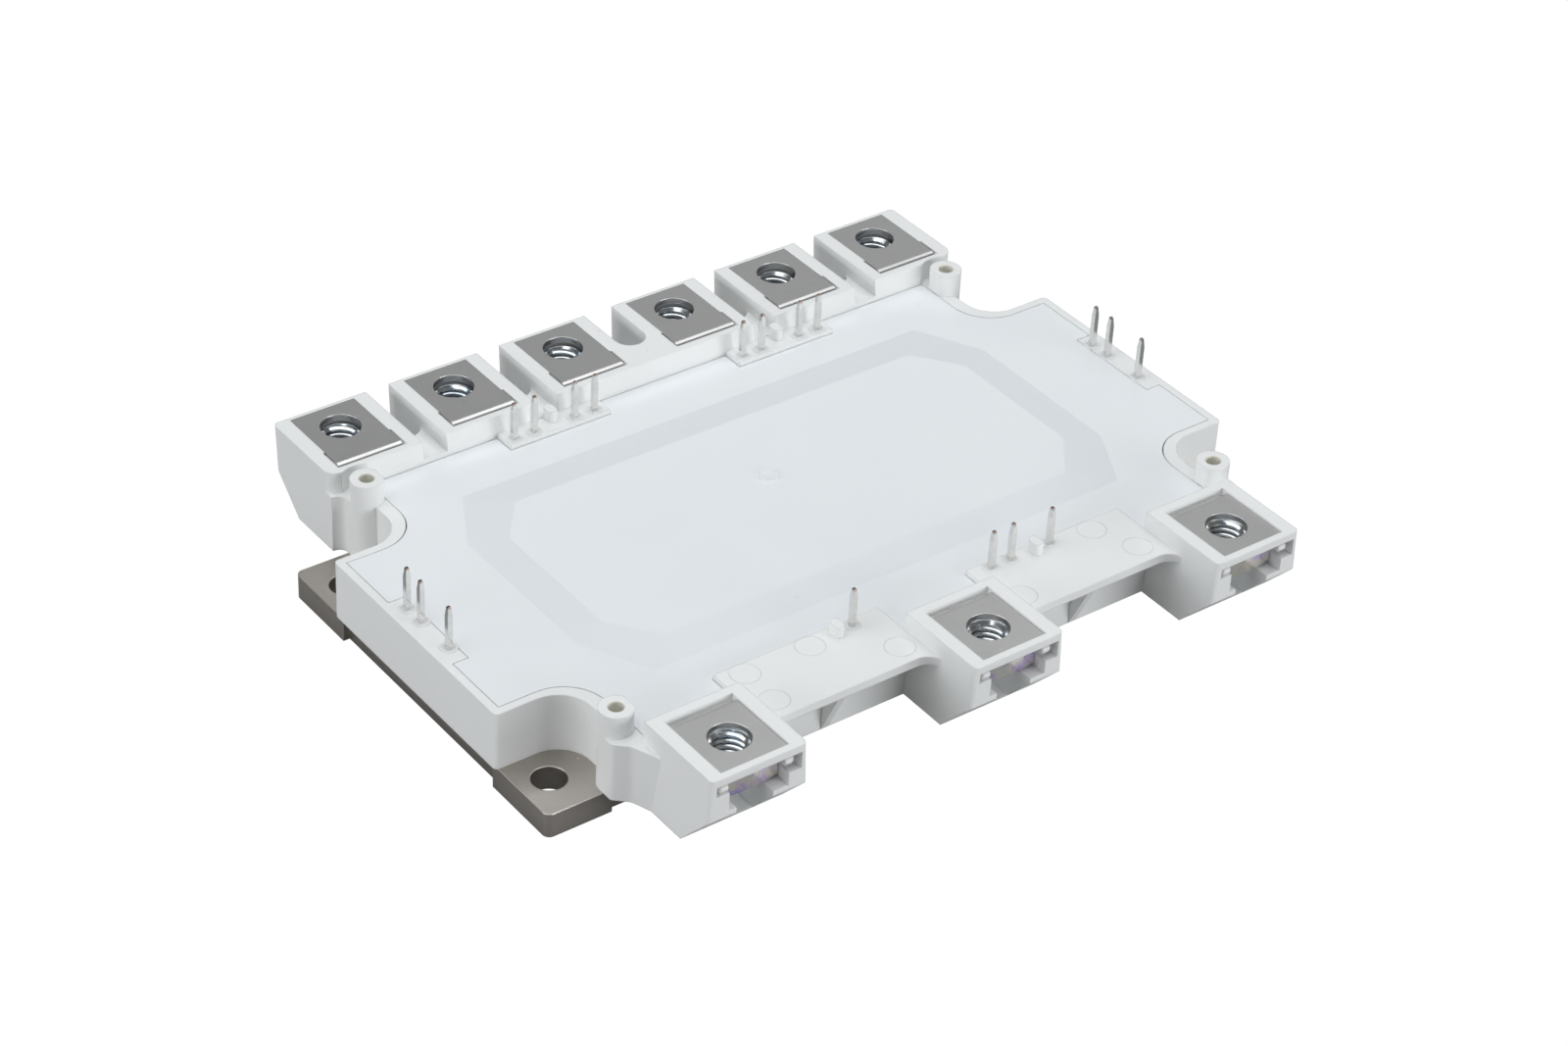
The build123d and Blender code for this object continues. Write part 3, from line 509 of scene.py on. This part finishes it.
bare_copper = inner_metal("bare_copper", (0.55, 0.27, 0.16), (0.78, 0.46, 0.33), 0.24, 0.42,
                          0.25, 2400.0, 180.0)
dull_solder = inner_metal("dull_solder", (0.42, 0.43, 0.45), (0.62, 0.63, 0.65), 0.38, 0.60,
                          0.50, 900.0, 500.0)
bond_wire = inner_metal("bond_wire", (0.72, 0.72, 0.73), (0.86, 0.86, 0.87), 0.18, 0.30,
                        0.15, 3600.0, 900.0)
print("inner metals:", bare_copper.name, dull_solder.name, bond_wire.name)

# %% Finish: ceramic, silicon and sensor
def inner_solid(name, deep, bright, low, high, metallic):
    """Sintered or crystalline body. Returns the material, bench, shader inputs and colour."""
    finish, bench, shader = start_finish(name)
    skin = use(bench, moulded_skin, Cloud_Scale=220.0, Grain_Scale=5200.0)
    tone = bench.blend(skin["Cloud"], deep, bright)
    shader["Metallic"].default_value = metallic
    bench.feed(shader["Base Color"], tone)
    bench.feed(shader["Roughness"], bench.span(skin["Flow"], 0.0, 1.0, low, high))
    bump = bench.add("Bump", {"Strength": 0.2, "Distance": 0.01 * MM, "Height": skin["Grain"]})
    bench.feed(shader["Normal"], bump.outputs[0])
    return finish, bench, shader, tone


white_ceramic = inner_solid(
    "white_ceramic", (0.80, 0.80, 0.77), (0.88, 0.88, 0.86), 0.45, 0.62, 0.0)[0]
sensor_bead = inner_solid(
    "sensor_bead", (0.05, 0.06, 0.05), (0.10, 0.11, 0.09), 0.30, 0.50, 0.0)[0]
chip_silicon, bench, shader, tone = inner_solid(
    "chip_silicon", (0.10, 0.105, 0.12), (0.16, 0.165, 0.18), 0.15, 0.28, 0.6)
grid = bench.add("TexBrick", {"Vector": bench.add("TexCoord").outputs["Object"],
                              "Color1": (1.0, 1.0, 1.0), "Color2": (1.0, 1.0, 1.0),
                              "Mortar": (0.0, 0.0, 0.0), "Scale": 600.0, "Mortar Size": 0.03,
                              "Mortar Smooth": 0.2, "Brick Width": 1.3, "Row Height": 0.7},
                 offset=0.0)
bench.feed(shader["Base Color"], bench.blend(grid.outputs["Color"], tone, (0.34, 0.35, 0.37)))
print("inner solids:", white_ceramic.name, chip_silicon.name, sensor_bead.name)

# %% [markdown]
# ## Dressing the solids
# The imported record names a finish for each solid. Each solid drops its plain colour and takes
# the finish of its kind, so nothing is forgotten when a solid is added.

# %% Dress the solids
finish_of = {
    "moulding": case_plastic,
    "lid_moulding": lid_plastic,
    "base_metal": base_nickel,
    "terminal_metal": terminal_nickel,
    "nut_zinc": nut_zinc,
    "pin_tin": pin_tin,
    "solder": dull_solder,
    "copper": bare_copper,
    "ceramic": white_ceramic,
    "silicon": chip_silicon,
    "wire": bond_wire,
    "sensor": sensor_bead,
}
slot_of = {part["node"]: part["material_slot"] for part in frame["record"]["subparts"]}
for name, solid in solids.items():
    solid.data.materials.clear()
    solid.data.materials.append(finish_of[slot_of[name]])
print("dressed:", len(solids))

# %% [markdown]
# ## Helpers for modelling
# An operator works on whatever is selected, so everything is deselected first, and faces are
# picked in code by where they lie. A cutter is a second solid that a Boolean modifier takes
# away; once the modifier is applied the cutter is thrown away.

# %% Modelling helpers
def fresh(add, **options):
    """Runs a primitive operator with nothing else selected, and returns the new object."""
    bpy.ops.object.select_all(action="DESELECT")
    add(**options)
    return bpy.context.object


def edit_faces(piece, wanted):
    """Enters edit mode on a piece with just the faces that `wanted` accepts selected."""
    bpy.context.view_layer.objects.active = piece
    bpy.ops.object.mode_set(mode="EDIT")
    bpy.ops.mesh.select_mode(type="FACE")
    bpy.ops.mesh.select_all(action="DESELECT")
    bpy.ops.object.mode_set(mode="OBJECT")
    for face in piece.data.polygons:
        face.select = wanted(face)
    bpy.ops.object.mode_set(mode="EDIT")


def draw_out(piece, wanted, rise, scale):
    """Extrudes the picked faces by `rise` along Z and scales them in plan."""
    edit_faces(piece, wanted)
    bpy.ops.mesh.extrude_region_move(TRANSFORM_OT_translate={"value": (0.0, 0.0, rise)})
    bpy.ops.transform.resize(value=(scale, scale, 1.0))
    bpy.ops.object.mode_set(mode="OBJECT")


def carve(piece, tool, operation="DIFFERENCE"):
    """Cuts a piece with a tool, or keeps what they share, and removes the tool."""
    cut = piece.modifiers.new("cut", "BOOLEAN")
    cut.operation = operation
    cut.solver = "EXACT"
    cut.object = tool
    bpy.context.view_layer.objects.active = piece
    bpy.ops.object.modifier_apply(modifier="cut")
    bpy.data.objects.remove(tool)


def top_face(face):
    return face.normal.z > 0.9


def bottom_face(face):
    return face.normal.z < -0.9


print("helpers ready")

# %% [markdown]
# ## The nuts
# A square nut lies caught under each terminal. It shows through the hole, and its flat side
# through the window in the end of the block. A real one is cut from square bar, turned so that
# its corners are chamfered, drilled, countersunk and tapped. The same steps work here: a turned
# blank meets a square bar, a stepped drill makes the bore, and a triangle swept along a helix
# cuts the thread. A bump could only draw a thread, and it would stay flat at the rim of the
# hole. Where two tools meet, a cut leaves needle-thin faces, so corners that lie a few
# thousandths of a millimetre apart are merged at the end.

# %% Nut blank
nut_flats = 10.0 * MM
nut_height = 5.0 * MM
chamfer_angle = math.radians(15)
blank_radius = 0.72 * nut_flats
face_ring = 0.51 * nut_flats
corner_drop = (blank_radius - face_ring) * math.tan(chamfer_angle)

nut = fresh(bpy.ops.mesh.primitive_cylinder_add, vertices=96, radius=blank_radius,
            depth=nut_height - 2 * corner_drop)
draw_out(nut, top_face, corner_drop, face_ring / blank_radius)
draw_out(nut, bottom_face, -corner_drop, face_ring / blank_radius)
bar = fresh(bpy.ops.mesh.primitive_cube_add, size=nut_flats)
carve(nut, bar, "INTERSECT")
print("blank faces:", len(nut.data.polygons))

# %% Nut bore and thread
thread_core = 2.5 * MM
thread_top = 3.0 * MM
thread_pitch = 1.0 * MM
thread_turns = 7
groove_half_width = 0.45 * MM
groove_overlap = 0.12 * MM
straight_end = 0.55 * MM
sink_depth = 0.65 * MM
sink_margin = 0.15 * MM
drill_runout = 0.50 * MM
sliver = 0.004 * MM

drill = fresh(bpy.ops.mesh.primitive_cylinder_add, vertices=64, radius=thread_core,
              depth=nut_height - 2 * straight_end)
for side, pick in ((1, top_face), (-1, bottom_face)):
    draw_out(drill, pick, side * sink_depth, (thread_top + sink_margin) / thread_core)
    draw_out(drill, pick, side * drill_runout, 1.0)
carve(nut, drill)

tap = fresh(bpy.ops.mesh.primitive_circle_add, vertices=3, radius=0.5 * MM, fill_type="NGON")
corners_of_tap = ((thread_core - groove_overlap, groove_half_width), (thread_top, 0.0),
                  (thread_core - groove_overlap, -groove_half_width))
for vertex, (reach, height) in zip(tap.data.vertices, corners_of_tap):
    vertex.co = (reach, 0.0, height - thread_turns * thread_pitch / 2)
sweep = tap.modifiers.new("helix", "SCREW")
sweep.axis = "Z"
sweep.angle = math.tau
sweep.screw_offset = thread_pitch
sweep.iterations = thread_turns
sweep.steps = sweep.render_steps = 40
sweep.use_merge_vertices = False
bpy.context.view_layer.objects.active = tap
bpy.ops.object.modifier_apply(modifier="helix")
edit_faces(tap, lambda face: True)
bpy.ops.mesh.normals_make_consistent(inside=False)
bpy.ops.object.mode_set(mode="OBJECT")
carve(nut, tap)
edit_faces(nut, lambda face: True)
bpy.ops.mesh.remove_doubles(threshold=sliver)
bpy.ops.mesh.dissolve_degenerate(threshold=sliver)
bpy.ops.object.mode_set(mode="OBJECT")
print("nut faces:", len(nut.data.polygons))

# %% [markdown]
# The finished nut is copied under every hole. A seeded random quarter turn keeps the flats
# square in their pocket and still brings another start of the thread to the front.

# %% Place the nuts
dc_holes = (-52.7, -31.85, -11.0, 11.0, 31.85, 52.7)
ac_holes = (-47.0, 0.0, 47.0)
dc_hole_y = 47.9
ac_hole_y = -48.0
flat_reach = 0.49 * nut_flats
turns = random.Random(7)

nut.data.materials.clear()
nut.data.materials.append(nut_zinc)
nut.data.materials.append(nut_film)
for face in nut.data.polygons:
    on_flat = max(abs(face.center.x), abs(face.center.y)) > flat_reach
    face.material_index = 1 if on_flat else 0
bpy.ops.object.select_all(action="DESELECT")
nut.select_set(True)
bpy.context.view_layer.objects.active = nut
bpy.ops.object.shade_smooth_by_angle(angle=math.radians(28))


def place_nuts(label, solid, holes_x, hole_y):
    """Copies the nut under each hole, by quarter turns so that its flats stay in the pocket."""
    low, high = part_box(solid)
    middle = (low.z + high.z) / 2
    for number, x in enumerate(holes_x, 1):
        one = nut.copy()
        one.data = nut.data.copy()
        one.name = f"{label}_{number}"
        turn = Matrix.Rotation(turns.randrange(4) * math.pi / 2, 4, "Z")
        one.data.transform(Matrix.Translation((x * MM, hole_y * MM, middle)) @ turn)
        bpy.context.collection.objects.link(one)
        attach(one, "root")
        if number == 1:
            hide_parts(solid)


place_nuts("dc_nut", "dc_nuts", dc_holes, dc_hole_y)
place_nuts("ac_nut", "ac_nuts", ac_holes, ac_hole_y)
bpy.data.objects.remove(nut)
print("nuts:", len(dc_holes) + len(ac_holes))

# %% [markdown]
# ## Catches in the windows
# Two small catches stand in each window of the front blocks, one at each end of the nut, and
# keep it from sliding out. They are part of the moulding: a round-ended nub that lies across
# the edge of the nut, on a stem from the rear wall of its pocket. The nub is a short cylinder
# with both ends bevelled round. A bisect splits its outer half off, and the faces there that
# look backwards are extruded into the stem.

# %% One catch
nub_radius = 0.66 * MM
nub_length = 1.75 * MM
stem_length = 3.15 * MM
split_height = -0.05 * MM


def window_catch(side):
    """A catch whose nub points along +X for side 1 and along -X for side -1."""
    catch = fresh(bpy.ops.mesh.primitive_cylinder_add, vertices=28, radius=nub_radius,
                  depth=nub_length)
    for pick, share in ((top_face, 0.90), (bottom_face, 0.45)):
        edit_faces(catch, pick)
        bpy.ops.mesh.region_to_loop()
        bpy.ops.mesh.bevel(offset=share * nub_radius, segments=6)
        bpy.ops.object.mode_set(mode="OBJECT")
    edit_faces(catch, lambda face: True)
    bpy.ops.mesh.bisect(plane_co=(0.0, 0.0, split_height), plane_no=(0.0, 0.0, 1.0))
    bpy.ops.object.mode_set(mode="OBJECT")
    edit_faces(catch, lambda face: face.normal.y > 0.5 and abs(face.normal.z) < 0.1
               and face.center.z > split_height)
    bpy.ops.mesh.extrude_region_move(TRANSFORM_OT_translate={"value": (0.0, stem_length, 0.0)})
    bpy.ops.object.mode_set(mode="OBJECT")
    catch.data.transform(Matrix.Rotation(side * math.pi / 2, 4, "Y"))
    bpy.ops.object.shade_smooth_by_angle(angle=math.radians(40))
    return catch


def set_pieces(label, pattern, places, finish):
    """Copies a piece to each (x, y, z) in millimetres, each copy with its own mesh."""
    for number, at in enumerate(places, 1):
        one = pattern.copy()
        one.data = pattern.data.copy()
        one.name = f"{label}_{number}"
        one.data.transform(Matrix.Translation(Vector(at) * MM))
        one.data.materials.clear()
        one.data.materials.append(finish)
        bpy.context.collection.objects.link(one)
        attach(one, "root")
    bpy.data.objects.remove(pattern)
    print(label, len(places))


catch_y, catch_z = -54.55, 15.70
for side, label, off_x in ((1, "right_window_catch", 5.45), (-1, "left_window_catch", 6.00)):
    catch_places = [(x + side * off_x, catch_y, catch_z) for x in ac_holes]
    set_pieces(label, window_catch(side), catch_places, case_plastic)

# %% [markdown]
# ## Marks of the mould
# Ejector pins push the hot case out of the steel mould and leave a thin raised ring where each
# one met the plastic, and the lid keeps a small, higher ring at its gate. A broad collar
# surrounds each control pin, where the mould closed round it. All of them are lower than a
# quarter of a millimetre, but the light finds them. A circle is widened, thickened and rounded
# into one low ring, and copied to each place. A bare circle has no faces, so its corners are
# picked in vertex mode.

# %% Low rings
def low_ring(radius, width, height):
    """A flat ring of flash, rounded on top, with its foot at Z = 0."""
    ring = fresh(bpy.ops.mesh.primitive_circle_add, vertices=56, radius=radius - width / 2)
    bpy.ops.object.mode_set(mode="EDIT")
    bpy.ops.mesh.select_mode(type="VERT")
    bpy.ops.mesh.select_all(action="SELECT")
    bpy.ops.mesh.extrude_region_move()
    widen = (radius + width / 2) / (radius - width / 2)
    bpy.ops.transform.resize(value=(widen, widen, 1.0))
    bpy.ops.mesh.select_all(action="SELECT")
    bpy.ops.mesh.extrude_region_move(TRANSFORM_OT_translate={"value": (0.0, 0.0, height)})
    bpy.ops.mesh.select_all(action="SELECT")
    bpy.ops.mesh.normals_make_consistent(inside=False)
    bpy.ops.object.mode_set(mode="OBJECT")
    edit_faces(ring, top_face)
    bpy.ops.mesh.region_to_loop()
    bpy.ops.mesh.bevel(offset=min(width / 3, height * 0.6), segments=2)
    bpy.ops.object.mode_set(mode="OBJECT")
    print("ring faces:", len(ring.data.polygons))
    return ring


shelf_z = 15.09
tab_z = 14.29
field_z = 14.64
ejector_places = [(x, y, shelf_z) for x, y in (
    (-22.6, -34.6), (-34.5, -34.7), (-11.65, -42.0), (-34.6, -42.0),
    (31.5, -34.7), (11.65, -42.0), (34.6, -42.0))]
set_pieces("shelf_ejector_mark", low_ring(2.35 * MM, 0.18 * MM, 0.014 * MM), ejector_places,
           case_plastic)
pin_pitch = 3.81
side_pin_x, rear_pin_y, front_pin_y = 66.5, 34.0, -33.9
side_starts_y = ((-1, 6.2), (1, 6.35))
rear_starts_x = (-29.5, 14.9)
lone_pin_x, front_start_x = -14.35, 12.2
side_steps, rear_steps = (0, 1, 3), (0, 1, 3, 4)
collar_places = [(side * side_pin_x, y - step * pin_pitch, tab_z)
                 for side, y in side_starts_y for step in side_steps]
collar_places += [(x + step * pin_pitch, rear_pin_y, shelf_z)
                  for x in rear_starts_x for step in rear_steps]
collar_places += [(front_start_x + step * pin_pitch, front_pin_y, shelf_z) for step in side_steps]
collar_places += [(lone_pin_x, front_pin_y, shelf_z)]
set_pieces("pin_collar", low_ring(1.15 * MM, 0.50 * MM, 0.07 * MM), collar_places, case_plastic)
set_pieces("lid_gate_mark", low_ring(1.60 * MM, 0.36 * MM, 0.24 * MM), [(-1.4, 4.5, field_z)],
           lid_plastic)
